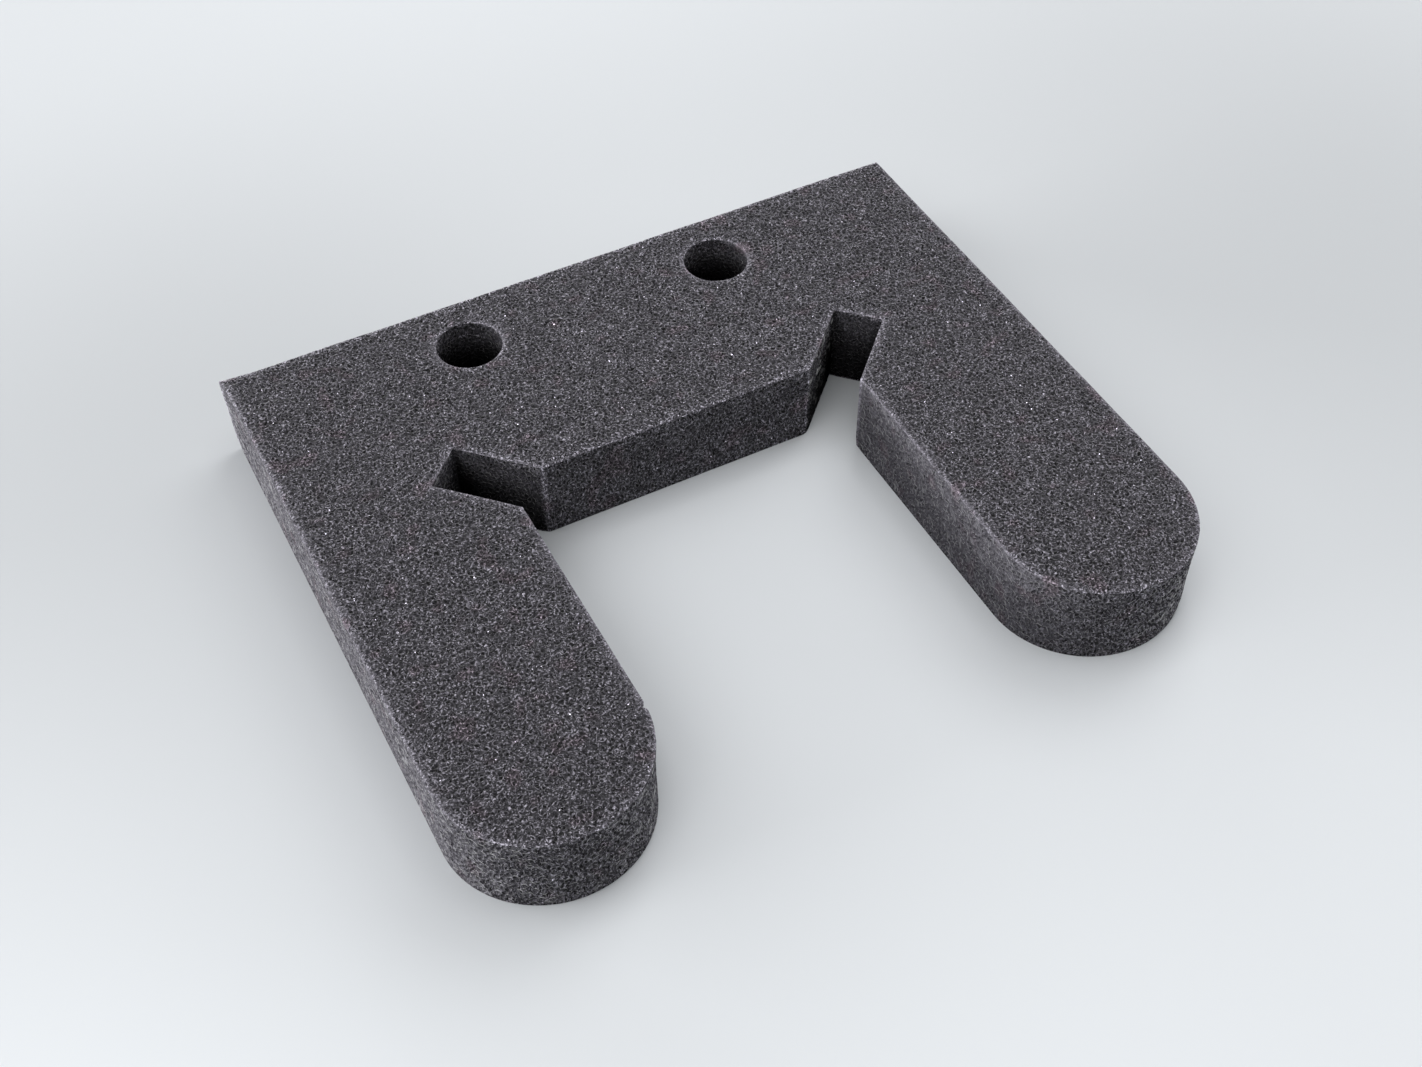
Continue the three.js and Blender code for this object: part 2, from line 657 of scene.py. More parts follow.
@dataclass
class SkinPattern:
    """Draws the pad's skin as flat patches, and folds it round the pad."""

    outline: CutOutline
    cells: CellSizes
    cut: CutSizes
    thickness: float
    looks: LookSizes = field(default_factory=LookSizes)
    least_steps: int = 2
    gap: float = 3.0 * MM
    slack: float = 1.0 * MM
    row_width: float = 0.403
    height_digits: int = 4
    far: float = 9.0

    def __post_init__(self) -> None:
        """Draws the patches and lays them out."""
        self.rng = np.random.default_rng(self.cells.seed)
        self.runs = self.outline.stretches()
        self.patches = self._draw()
        self._lay_out()

    def _steps(self, length: float) -> np.ndarray:
        """Divides a length unevenly.

        Args:
            length: what to divide.

        Returns:
            Distances from 0 to the length, about a rim step apart.
        """
        count = max(self.least_steps, round(length / self.cells.rim_step))
        places = np.linspace(0.0, length, count + 1)
        shake = self.cells.rim_jitter * length / count
        places[1:-1] += self.rng.uniform(-shake, shake, count - 1)
        return places

    def _draw(self) -> list[Patch]:
        """Draws the patches. Neighbours have the same steps along the rim that they share.

        Returns:
            A patch for each wall between sharp corners, then the top and the underside.
        """
        walls, tops, undersides = [], [], []
        for runs in self.runs:
            seams = [self._steps(self.thickness) for _ in runs]
            highs = [self._steps(run.length) for run in runs]
            lows = [self._steps(run.length) for run in runs]
            for index, run in enumerate(runs):
                high, low = highs[index], lows[index]
                start, end = seams[index], seams[(index + 1) % len(runs)]
                sides = (
                    (low[:-1], 0.0),
                    (run.length, end[:-1]),
                    (high[:0:-1], self.thickness),
                    (0.0, start[:0:-1]),
                )
                level = [np.broadcast_arrays(*side) for side in sides]
                ring = np.concatenate([np.stack(side, axis=1) for side in level])
                walls.append(Patch(Face.WALL, [ring], run))
            tops.append(np.concatenate([run.place(s[:-1]) for run, s in zip(runs, highs)]))
            lower = np.concatenate([run.place(s[:-1]) for run, s in zip(runs, lows)])
            undersides.append(lower[::-1] * (-1.0, 1.0))
        return [*walls, Patch(Face.TOP, tops), Patch(Face.UNDERSIDE, undersides)]

    def _lay_out(self) -> None:
        """Sets the patches out in rows, the tallest first, with a gap between them."""
        cursor = np.zeros(2)
        row_height = 0.0
        digits = self.height_digits
        for patch in sorted(self.patches, key=lambda p: (-round(p.size[1], digits), -p.size[0])):
            if cursor[0] and cursor[0] + patch.size[0] > self.row_width:
                cursor = np.array([0.0, cursor[1] + row_height + self.gap])
                row_height = 0.0
            patch.shift = cursor - patch.low
            cursor = cursor + (patch.size[0] + self.gap, 0.0)
            row_height = max(row_height, patch.size[1])

    @property
    def extent(self) -> np.ndarray:
        """The width and height of the whole pattern."""
        return np.max([p.low + p.shift + p.size for p in self.patches], axis=0)

    def patch_at(self, flat: np.ndarray) -> np.ndarray:
        """Finds the patch that each flat point lies in.

        Args:
            flat: points of the pattern.

        Returns:
            The patches' numbers.
        """
        number = np.full(len(flat), -1)
        for index, patch in enumerate(self.patches):
            low = patch.low + patch.shift - self.slack
            inside = (flat > low) & (flat < low + patch.size + 2 * self.slack)
            number[inside.all(axis=1)] = index
        return number

    def _shares(self, flat: np.ndarray) -> Iterator[tuple[Patch, np.ndarray, np.ndarray]]:
        """Shares flat points out among the patches.

        Args:
            flat: points of the pattern.

        Returns:
            Each patch, which points lie in it, and where they lie before it is laid out.
        """
        number = self.patch_at(flat)
        for index, patch in enumerate(self.patches):
            mine = number == index
            yield patch, mine, flat[mine] - patch.shift

    def fold(self, flat: np.ndarray, sunk: np.ndarray) -> np.ndarray:
        """Folds the pattern round the pad.

        Args:
            flat: points of the pattern.
            sunk: how deep each lies under the skin.

        Returns:
            The points in the pad's own frame.
        """
        solid = np.zeros((len(flat), 3))
        for patch, mine, local in self._shares(flat):
            deep = sunk[mine]
            if patch.face is Face.TOP:
                solid[mine] = np.column_stack([local, self.thickness - deep])
            elif patch.face is Face.UNDERSIDE:
                solid[mine] = np.column_stack([-local[:, 0], local[:, 1], deep])
            else:
                solid[mine] = self._stand_up(patch.stretch, local, deep)
        return solid

    def _stand_up(self, run: Stretch, local: np.ndarray, deep: np.ndarray) -> np.ndarray:
        """Stands a wall up along its run. The knife draws it in a little between its rims.

        Args:
            run: the wall's run of the cut edge.
            local: how far along and how high each point lies.
            deep: how deep it lies under the skin.

        Returns:
            The points in the pad's own frame.
        """
        height = local[:, 1] / self.thickness
        from_end = np.minimum(local[:, 0], run.length - local[:, 0])
        fade = 1.0 if run.closed else np.clip(from_end / self.cut.dish_fade, 0, 1)
        hollow = 1.0 - (2.0 * height - 1.0) ** 2
        inset = (deep + self.cut.dish * hollow * fade)[:, None]
        plan = run.place(local[:, 0]) - run.facing(local[:, 0]) * inset
        return np.column_stack([plan, local[:, 1]])

    def brim_at(self, flat: np.ndarray) -> np.ndarray:
        """Measures from the top rim.

        Args:
            flat: points of the pattern.

        Returns:
            How far each lies from the rim, in widths of its painted highlight.
        """
        far = np.full(len(flat), self.far)
        for patch, mine, local in self._shares(flat):
            if patch.face is Face.TOP:
                far[mine] = distance_to_rings(local, patch.rings) / self.cut.top_highlight_width
            elif patch.face is Face.WALL:
                far[mine] = (self.thickness - local[:, 1]) / self.cut.wall_highlight_width
        return np.minimum(far, self.far)

    def arris_at(self, flat: np.ndarray) -> np.ndarray:
        """Measures from the vertical arrises.

        Args:
            flat: points of the pattern.

        Returns:
            How far each lies from the nearest arris, in widths of its painted highlight.
        """
        far = np.full(len(flat), self.far)
        arrises = self.outline.arrises()
        for patch, mine, local in self._shares(flat):
            if patch.face is Face.WALL:
                plan = patch.stretch.place(local[:, 0])
                aside = np.linalg.norm(plan[:, None] - arrises, axis=2)
                far[mine] = aside.min(axis=1) / self.cut.arris_highlight_width
        return np.minimum(far, self.far)

    def drag_at(self, flat: np.ndarray) -> np.ndarray:
        """Tells where light is painted on the faces that face along X, and on the top close to
        their rims.

        Args:
            flat: points of the pattern.

        Returns:
            How much painted side light each gets, from 0 to 1.
        """
        side_lit = np.zeros(len(flat))
        for patch, mine, local in self._shares(flat):
            if patch.face is Face.WALL:
                # Walls that face along X get painted light.
                side_lit[mine] = patch.stretch.facing(local[:, 0])[:, 0] ** 2
            elif patch.face is Face.TOP:
                gap = distance_to_rings(local, self.outline.loops()) / self.cut.side_light_gap
                facing = self.facing_at(local, self.cut.side_light_reach)
                side_lit[mine] = self.cut.side_light_share * facing[:, 0] ** 2 * np.exp(-(gap**2))
        return side_lit

    def gloom_at(self, flat: np.ndarray) -> np.ndarray:
        """Works out how much of the light from above the walls shut out, for the painted shade in
        the slots and holes.

        Args:
            flat: points of the pattern.

        Returns:
            The share that is lost at each.
        """
        shut = np.zeros(len(flat))
        sides = [np.concatenate(part) for part in zip(*map(ring_sides, self.outline.loops()))]
        for patch, mine, local in self._shares(flat):
            if patch.face is Face.WALL:
                shut[mine] = self._shut_out(patch.stretch, local, sides)
        return shut

    def _shut_out(self, run: Stretch, local: np.ndarray, sides: list[np.ndarray]) -> np.ndarray:
        """Works out how much of the light from above is lost on a wall.

        Args:
            run: the wall's run of the cut edge.
            local: how far along and how high each point lies.
            sides: where each side of the cut starts, and the step along it.

        Returns:
            The share that is lost at each point.
        """
        looks = self.looks
        drop = np.clip(self.thickness - local[:, 1], 0, None)
        count = max(looks.least_stops, int(run.length / looks.stop_step))
        stops = np.linspace(looks.margin, run.length - looks.margin, count)
        place, facing = run.place(stops), run.facing(stops)
        turns = np.linspace(-looks.widest, looks.widest, looks.count)
        lost = np.zeros(len(local))
        for turn in turns:
            cos, sin = math.cos(turn), math.sin(turn)
            way = facing @ np.array([[cos, sin], [-sin, cos]])
            free = np.interp(local[:, 0], stops, self._free_way(place, way, *sides))
            lost += cos * drop / np.hypot(free, drop + HAIR)
        return lost / np.cos(turns).sum()

    def _free_way(
        self, place: np.ndarray, way: np.ndarray, starts: np.ndarray, steps: np.ndarray
    ) -> np.ndarray:
        """Looks from each place along its way.

        Args:
            place: rows of x and y.
            way: the unit direction of each look.
            starts: where each side of the cut starts.
            steps: the step along each side.

        Returns:
            How far each look goes before it meets a side.
        """
        gap = starts[None] - (place + way * self.looks.step_off)[:, None]
        cross = way[:, None, 0] * steps[None, :, 1] - way[:, None, 1] * steps[None, :, 0]
        cross = np.where(np.abs(cross) < HAIR * MM, HAIR * MM, cross)
        reach = (gap[..., 0] * steps[None, :, 1] - gap[..., 1] * steps[None, :, 0]) / cross
        share = (gap[..., 0] * way[:, None, 1] - gap[..., 1] * way[:, None, 0]) / cross
        met = (reach > 0) & (share >= 0) & (share <= 1)
        return np.where(met, reach, self.looks.open_way).min(axis=1)

    def facing_at(self, plan: np.ndarray, reach: float) -> np.ndarray:
        """Finds which way the nearby cut edges face.

        Args:
            plan: points seen from above.
            reach: how near an edge has to be to count.

        Returns:
            The mean direction out of the foam of the edges within reach of each point.
        """
        total = np.zeros_like(plan)
        for run in (run for runs in self.runs for run in runs):
            for start, step in zip(run.points, np.diff(run.points, axis=0)):
                near = distance_to_side(plan, start, step) < reach
                total[near] += (step[1], -step[0]) / np.linalg.norm(step)
        return total / np.maximum(np.linalg.norm(total, axis=1), HAIR)[:, None]


# ---- node groups for the cells ----


def scatter_tree(material: bpy.types.Material) -> Tree:
    """Makes a group that scatters points over a flat sheet.

    Args:
        material: what the group dresses its mesh in.

    Returns:
        The group's tree. No two of its points are closer than its Spacing.
    """
    tree, given = Tree.of_geometry("scatter_cells", Spacing="Float", Crowding="Float", Seed="Int")
    inputs = {
        "Mesh": given["Mesh"],
        "Distance Min": given["Spacing"],
        "Density Max": given["Crowding"] / (given["Spacing"] * given["Spacing"]),
        "Seed": given["Seed"],
    }
    settings = {"distribute_method": "POISSON"}
    points = tree.node("GeometryNodeDistributePointsOnFaces", settings, inputs)
    tree.finish_geometry(tree.node("GeometryNodePointsToVertices", {}, {0: points}), material)
    return tree


class CellNodes:
    """A Geometry Nodes group that turns each vertex of a flat, triangulated pattern into a cell."""

    FLOATS = (
        "Depth", "Least Depth", "Wander", "Rim Share", "Skinned Share", "Strut Sink",
        "Width", "Height",
    )
    BORDER_FACES = 1.5
    TRACE = 0.01
    SPECK = 1e-6
    STRUT_SKEW = 1.5
    STRUT_WANDER = 0.5

    def __init__(self, material: bpy.types.Material) -> None:
        """Builds the group.

        Args:
            material: what the group dresses its mesh in.
        """
        inputs = {name: "Float" for name in self.FLOATS}
        self.tree, self.given = Tree.of_geometry("open_cells", **inputs, Seed="Int")
        self.draws = 0
        self.tree.finish_geometry(self._build(), material)

    def _random(self, low: float, high: float) -> Wire:
        """Draws a random number for each element, unlike any drawn before.

        Args:
            low: the least that it may be.
            high: the most that it may be.

        Returns:
            The number.
        """
        self.draws += 1
        inputs = {"Min": low, "Max": high, "Seed": self.given["Seed"] + self.draws}
        return self.tree.node("FunctionNodeRandomValue", {"data_type": "FLOAT"}, inputs)

    def _keep(self, mesh: Wire, name: str, domain: str, value: Wire, kind: str = "FLOAT") -> Wire:
        """Keeps a value on the mesh.

        Args:
            mesh: what carries it.
            name: the name it is kept under.
            domain: what has one each: a "POINT", a "FACE" or a "CORNER".
            value: the value.
            kind: its data type.

        Returns:
            The mesh with the value on it.
        """
        settings = {"data_type": kind, "domain": domain}
        inputs = {"Geometry": mesh, "Name": name, "Value": value}
        return self.tree.node("GeometryNodeStoreNamedAttribute", settings, inputs)

    def _kept(self, name: str) -> Wire:
        """Reads a number kept on the mesh."""
        kind = {"data_type": "FLOAT"}
        return self.tree.node("GeometryNodeInputNamedAttribute", kind, {"Name": name})

    def _vector(self, x: Wire, y: Wire, z: Wire | float) -> Wire:
        """Joins three numbers to a vector."""
        return self.tree.node("ShaderNodeCombineXYZ", {}, {0: x, 1: y, 2: z})

    def _build(self) -> Wire:
        """Adds the group's nodes.

        Returns:
            The finished mesh.
        """
        tree, given = self.tree, self.given
        dual = {"Mesh": given["Mesh"], "Keep Boundaries": True}
        cells = tree.node("GeometryNodeDualMesh", {}, dual)
        at_rim = tree.node("GeometryNodeInputMeshEdgeNeighbors") < self.BORDER_FACES
        cells = self._keep(cells, "rim", "FACE", at_rim)
        cells = self._keep(cells, "edge", "POINT", at_rim)
        cells = self._keep(cells, "tone", "FACE", self._random(0, 1))
        cells = self._keep(cells, "tip", "POINT", self._random(0, 1))
        open_cell = (self._kept("sealed") < HALF) * (self._kept("tone") > given["Skinned Share"])
        pierce = {"Mesh": cells, "Selection": open_cell, "Offset Scale": 0.0, "Individual": True}
        pierced = tree.node("GeometryNodeExtrudeMesh", {"mode": "FACES"}, pierce)
        floor = pierced.beside("Top")
        pierced = self._keep(pierced, "pore", "POINT", floor)
        shrink = {"Geometry": pierced, "Selection": floor, "Scale": 0.0}
        drawn = tree.node("GeometryNodeScaleElements", {"domain": "FACE"}, shrink)
        apex = self._kept("pore") > HALF
        weld = {"Geometry": drawn, "Selection": apex, "Distance": self.SPECK}
        welded = tree.node("GeometryNodeMergeByDistance", {}, weld)
        size = self._vector(given["Width"], given["Height"], 1.0)
        place = {0: tree.node("GeometryNodeInputPosition"), 1: size}
        share = tree.node("ShaderNodeVectorMath", {"operation": "DIVIDE"}, place)
        mapped = self._keep(welded, "OFBake", "CORNER", share, "FLOAT2")
        return self._sink(mapped, apex)

    def _sink(self, mesh: Wire, apex: Wire) -> Wire:
        """Sinks the cells' apexes deep and the struts between them a little.

        Args:
            mesh: the pierced pattern.
            apex: 1 at the bottom of a cell, 0 elsewhere.

        Returns:
            The sunken mesh, which carries its depth as a share of the deepest.
        """
        given = self.given
        in_rim = self._kept("rim") > self.TRACE
        free = (self._kept("edge") < self.TRACE) * (self._kept("sealed") < HALF)
        shallow = 1.0 - in_rim * (1.0 - given["Rim Share"])
        least = given["Least Depth"]
        cell_depth = given["Depth"] * (least + (1.0 - least) * self._random(0, 1)) * shallow
        strut_depth = given["Strut Sink"] * self._random(0, 1) ** self.STRUT_SKEW * free * shallow
        depth = apex * cell_depth + (1.0 - apex) * strut_depth
        reach = given["Wander"] * shallow * (apex + (1.0 - apex) * free * self.STRUT_WANDER)
        x, y = (self._random(-1, 1) * reach for _ in "xy")
        mesh = self._keep(mesh, "depth", "POINT", depth / given["Depth"])
        move = {"Geometry": mesh, "Offset": self._vector(x, y, 0.0 - depth)}
        return self.tree.node("GeometryNodeSetPosition", {}, move)


# ---- finishes ----


@dataclass(frozen=True)
class FoamFinish:
    """Charcoal open-cell foam: cut struts round dark cells, whose darkness is painted shade, with
    painted glints on the struts.

    Each effect is the natural logarithm of how much lighter or darker it makes the foam. Each span
    gives where something starts to show and where it shows in full. A calm says how much of the
    cells' contrast is lost.
    """

    tint: Colour = (0.955, 0.91, 1.06)
    dust: Colour = (1.03, 0.87, 1.03)
    shade: float = 0.0230
    roughness: float = 0.75
    specular: float = 0.2
    sheen: float = 0.7
    sheen_roughness: float = 0.3
    relief: float = 0.6
    relief_depth: float = 0.2 * MM
    # pit_effect and hollow_effect paint the shade in the cells; fleck_effect paints glints on cut
    # struts.
    pit_effect: float = -4.0
    ring_effect: float = 0.6
    worm_effect: float = 1.9
    base_effect: float = 2.0
    hollow_effect: float = -1.0
    strut_effect: float = 0.15
    tip_effect: float = 0.3
    fleck_effect: float = 2.6
    # Painted light on the faces that face along X, and how much of the cells' contrast it calms
    # there, as a painted sheen.
    drag_effect: float = 1.07
    drag_calm: float = 0.76
    # Painted highlights along the rims (halo, crest) and the arrises, and how much they calm the
    # cells.
    halo_effect: float = 0.38
    halo_calm: float = 0.5
    crest_effect: float = 0.5
    crest_calm: float = 0.8
    crest_ratio: float = 2.6
    arris_effect: float = 1.2
    # Painted shade deep in the slots and holes, by how much light the walls shut out.
    recess_shade_effect: float = -3.5
    pit_span: Span = (0.19, 0.34)
    ring_start: Span = (0.28, 0.42)
    ring_end: Span = (0.45, 0.62)
    worm_span: Span = (0.5, 0.66)
    fleck_span: Span = (0.08, 0.2)
    fleck_choice: Span = (0.5, 0.95)
    ridge_span: Span = (0.03, 0.28)
    hollow_span: Span = (0.45, 0.85)
    recess_shade_span: Span = (0.3, 0.8)
    dust_span: Span = (0.62, 0.8)
    pit_size: float = 1.05 * MM
    worm_size: float = 0.46 * MM
    swirl_size: float = 1.0 * MM
    swirl_reach: float = 1.2 * MM
    base_size: float = 0.5 * MM
    fleck_size: float = 1.15 * MM
    dust_size: float = 5.0 * MM
    rise: float = 1.35

    KEPT: ClassVar[tuple[str, ...]] = (
        "depth", "tip", "tone", "pore", "brim", "arris", "drag", "gloom",
    )

    def material(self) -> bpy.types.Material:
        """Makes the foam's material.

        Returns:
            The material, which reads the numbers that the pad's mesh carries.
        """
        material, tree = Tree.of_material("open_cell_foam")
        place = tree.node("ShaderNodeTexCoord", output="Object")
        squash = {"Vector": place, "Scale": (1.0, 1.0, 1.0 / self.rise)}
        where = tree.node("ShaderNodeMapping", {}, squash)
        bent = self._bent(tree, where)
        worm = self._noise(tree, bent, self.worm_size)
        kept = {name: self._kept(tree, name) for name in self.KEPT}
        # Painted shade: the foam darkens where the walls shut out the light from above.
        shut_out = kept["gloom"].ease(*self.recess_shade_span)
        texture = self._texture(tree, where, bent, worm, kept)
        light = self.shade * math.e ** (texture + self._wear_and_painted_light(kept) + shut_out * self.recess_shade_effect)
        dusty = self._noise(tree, where, self.dust_size).ease(*self.dust_span)
        colour = tree.scaled(tree.blend(dusty, self.tint, self.dust), light)
        height = {"Strength": self.relief, "Distance": self.relief_depth, "Height": worm}
        inputs = {
            "Base Color": colour,
            "Roughness": self.roughness,
            "Specular IOR Level": self.specular,
            "Sheen Weight": self.sheen,
            "Sheen Roughness": self.sheen_roughness,
            "Normal": tree.node("ShaderNodeBump", {}, height),
        }
        foam = tree.node("ShaderNodeBsdfPrincipled", {}, inputs)
        # Where the painted shade is deep, the foam loses its gloss and sheen too.
        inputs = {"Base Color": colour, "Roughness": 1.0, "Specular IOR Level": 0.0}
        unlit = tree.node("ShaderNodeBsdfPrincipled", {}, inputs)
        shader = tree.node("ShaderNodeMixShader", {}, {0: shut_out, 1: foam, 2: unlit})
        tree.node("ShaderNodeOutputMaterial", {}, {"Surface": shader})
        return material

    def _bent(self, tree: Tree, where: Wire) -> Wire:
        """Bends places to and fro, so that patterns on them lose their straight lines.

        Args:
            tree: the material's tree.
            where: the places.

        Returns:
            The bent places.
        """
        swirl = self._noise(tree, where, self.swirl_size, "Color")
        bending = {0: swirl, 1: (self.swirl_reach,) * 3, 2: where}
        return tree.node("ShaderNodeVectorMath", {"operation": "MULTIPLY_ADD"}, bending)

    def _texture(
        self, tree: Tree, where: Wire, bent: Wire, worm: Wire, kept: dict[str, Wire]
    ) -> Wire:
        """Works out the effect of the cells, with their painted shade and glints, which the painted
        highlights along the rims and the painted side light calm.

        Args:
            tree: the material's tree.
            where: places on the pad.
            bent: the same places, bent.
            worm: the noise that winds between the cells.
            kept: the numbers that the mesh carries.

        Returns:
            The effect.
        """
        # The cells' pattern, whose darkness is painted shade (pit, and hollow by each cell's
        # depth), and painted glints where cut struts catch the light (fleck).
        near = self._scattered(tree, bent, self.pit_size, "Distance")
        pit = 1.0 - near.ease(*self.pit_span)
        ring = near.ease(*self.ring_start) * (1.0 - near.ease(*self.ring_end))
        middle = self._scattered(tree, where, self.fleck_size, "Distance")
        fleck = 1.0 - middle.ease(*self.fleck_span)
        own = self._scattered(tree, where, self.fleck_size, "Color")
        bright = tree.node("ShaderNodeSeparateColor", {}, {0: own}).ease(*self.fleck_choice)
        hollow = kept["pore"].ease(*self.hollow_span) * kept["tone"]
        ridge = 1.0 - kept["depth"].ease(*self.ridge_span)
        cavities = (
            pit * self.pit_effect
            + hollow * self.hollow_effect
            + fleck * bright * self.fleck_effect
        )
        texture = (
            cavities * self._open_foam(kept)
            + ring * self.ring_effect
            + worm.ease(*self.worm_span) * self.worm_effect
            + (self._noise(tree, where, self.base_size) - HALF) * self.base_effect
            + ridge * (self.strut_effect + self.tip_effect * (kept["tip"] - HALF))
        )
        # The painted side light calms the cells' contrast, as a painted sheen.
        return texture * (1.0 - kept["drag"] * self.drag_calm)

    def _open_foam(self, kept: dict[str, Wire]) -> Wire:
        """Tells how open the cells are, less so under the painted highlights along the rims and
        arrises.
        """
        highlit = self._crest(kept).over(kept["arris"].bell())
        return 1.0 - highlit.over(kept["brim"].bell() * self.halo_calm) * self.crest_calm

    def _crest(self, kept: dict[str, Wire]) -> Wire:
        """Shows the very edge of the rims, where the painted highlight is brightest."""
        return (kept["brim"] * self.crest_ratio).bell()

    def _wear_and_painted_light(self, kept: dict[str, Wire]) -> Wire:
        """Adds up the painted highlights along the rims and arrises, and the painted light on the
        faces that face along X.
        """
        rims = kept["brim"].bell() * self.halo_effect + self._crest(kept) * self.crest_effect
        return rims + kept["arris"].bell() * self.arris_effect + kept["drag"] * self.drag_effect

    @staticmethod
    def _noise(tree: Tree, where: Wire, size: float, output: str | int = 0) -> Wire:
        """Adds smooth noise.

        Args:
            tree: the material's tree.
            where: places on the pad.
            size: about how large the noise's features are.
            output: "Color" for a colour instead of a number.

        Returns:
            The noise.
        """
        inputs = {"Vector": where, "Scale": 1.0 / size, "Detail": 0.0}
        return tree.node("ShaderNodeTexNoise", {}, inputs, output)

    @staticmethod
    def _scattered(tree: Tree, where: Wire, size: float, output: str) -> Wire:
        """Scatters points through the foam.

        Args:
            tree: the material's tree.
            where: places on the pad.
            size: about how far apart the points are.
            output: "Distance" or "Color".

        Returns:
            How far the nearest point is, as a share of the size, or a random colour of its own.
        """
        inputs = {"Vector": where, "Scale": 1.0 / size, "Randomness": 1.0}
        return tree.node("ShaderNodeTexVoronoi", {"feature": "F1"}, inputs, output)

    @staticmethod
    def _kept(tree: Tree, name: str) -> Wire:
        """Reads a number that the mesh carries."""
        return tree.node("ShaderNodeAttribute", {"attribute_name": name}, {}, "Fac")


@dataclass(frozen=True)
class Pool:
    """A soft pool of painted shade or painted light on the floor, in metres round the pad.

    Its effect is the natural logarithm of how much lighter or darker its middle is.
    """

    centre: tuple[float, float]
    reach: tuple[float, float]
    effect: float

    def wire(self, tree: Tree, place: Wire) -> Wire:
        """Works out the pool's effect.

        Args:
            tree: the floor's tree.
            place: places on the floor.

        Returns:
            The effect at each place.
        """
        moved = {"Vector": place, "Location": (*self.centre, 0.0), "Scale": (*self.reach, 1.0)}
        local = tree.node("ShaderNodeMapping", {"vector_type": "TEXTURE"}, moved)
        return tree.length(local).bell() * self.effect


@dataclass(frozen=True)
class FloorFinish:
    """A pale, seamless studio floor, with painted shade round the pad's back and sides and under
    its slots, and a little painted light inside its U.

    Far from the pad it fades into the colour of the surround, so that no horizon shows.
    """

    near: Colour = (0.772, 0.80, 0.828)
    lift: float = 0.066
    pools: tuple[Pool, ...] = (
        # Painted shade round the pad's left, right and back.
        Pool(centre=(-0.080, -0.030), reach=(0.070, 0.145), effect=-0.22),
        Pool(centre=(0.258, 0.030), reach=(0.175, 0.190), effect=-0.29),
        Pool(centre=(-0.210, 0.130), reach=(0.300, 0.150), effect=-0.355),
        Pool(centre=(-0.150, 0.360), reach=(0.150, 0.100), effect=-0.10),
        # Painted light inside the U.
        Pool(centre=(-0.015, -0.035), reach=(0.050, 0.050), effect=0.08),
        # Painted shadow on the floor under the two slots.
        Pool(centre=(-0.056, 0.026), reach=(0.019, 0.019), effect=-0.6),
        Pool(centre=(0.056, 0.026), reach=(0.019, 0.019), effect=-0.6),
    )
    roughness: float = 0.9
    far: Colour = (0.80, 0.82, 0.84)
    fade: Span = (0.42, 0.75)

    def material(self) -> bpy.types.Material:
        """Makes the floor's material.

        Returns:
            The material, whose pools of painted light and shade lie round the floor's own origin.
        """
        material, tree = Tree.of_material("studio_floor")
        place = tree.node("ShaderNodeTexCoord", output="Object")
        effect = sum((pool.wire(tree, place) for pool in self.pools), self.lift)
        colour = tree.scaled(self.near, math.e ** effect)
        inputs = {"Base Color": colour, "Roughness": self.roughness}
        lit = tree.node("ShaderNodeBsdfPrincipled", {}, inputs)
        away = tree.length(place).ease(*self.fade) * tree.backdrop_rays()
        glow = {"Color": solid_colour(self.far), "Strength": 1.0}
        haze = tree.node("ShaderNodeEmission", {}, glow)
        shader = tree.node("ShaderNodeMixShader", {}, {0: away, 1: lit, 2: haze})
        tree.node("ShaderNodeOutputMaterial", {}, {"Surface": shader})
        return material


# ---- the pad ----


